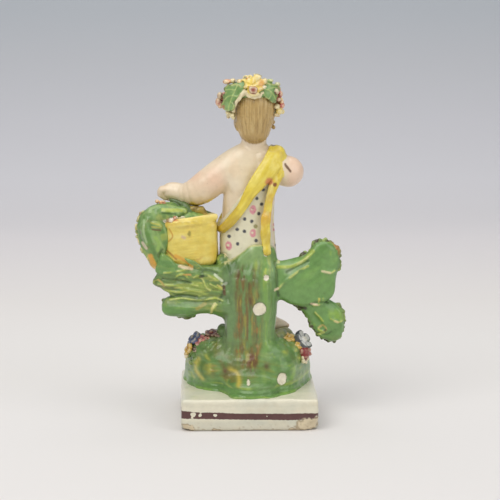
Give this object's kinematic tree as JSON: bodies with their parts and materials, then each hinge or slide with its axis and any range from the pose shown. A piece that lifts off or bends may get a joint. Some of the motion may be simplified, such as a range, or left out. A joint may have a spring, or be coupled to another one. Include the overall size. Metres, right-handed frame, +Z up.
{
  "type": "pearlware figure",
  "caption": "Small glazed earthenware figure of a wreathed child resting an arm over a basket, standing against a leafy tree stump on a flowered mound and square plinth.",
  "frame": {"origin": "centre of the square plinth's underside", "axes": "+Z up; the child faces -Y; the child's left hand and the basket are on the +X side"},
  "size_m": [0.0927, 0.058, 0.1488],
  "materials": {
    "pearlware_figure": "pearl glaze over cream body, painted under and over in green, yellow, ochre, brown, flesh and maroon"
  },
  "bodies": {
    "root": {"pearlware_figure": "pearlware_figure"}
  },
  "joints": []
}
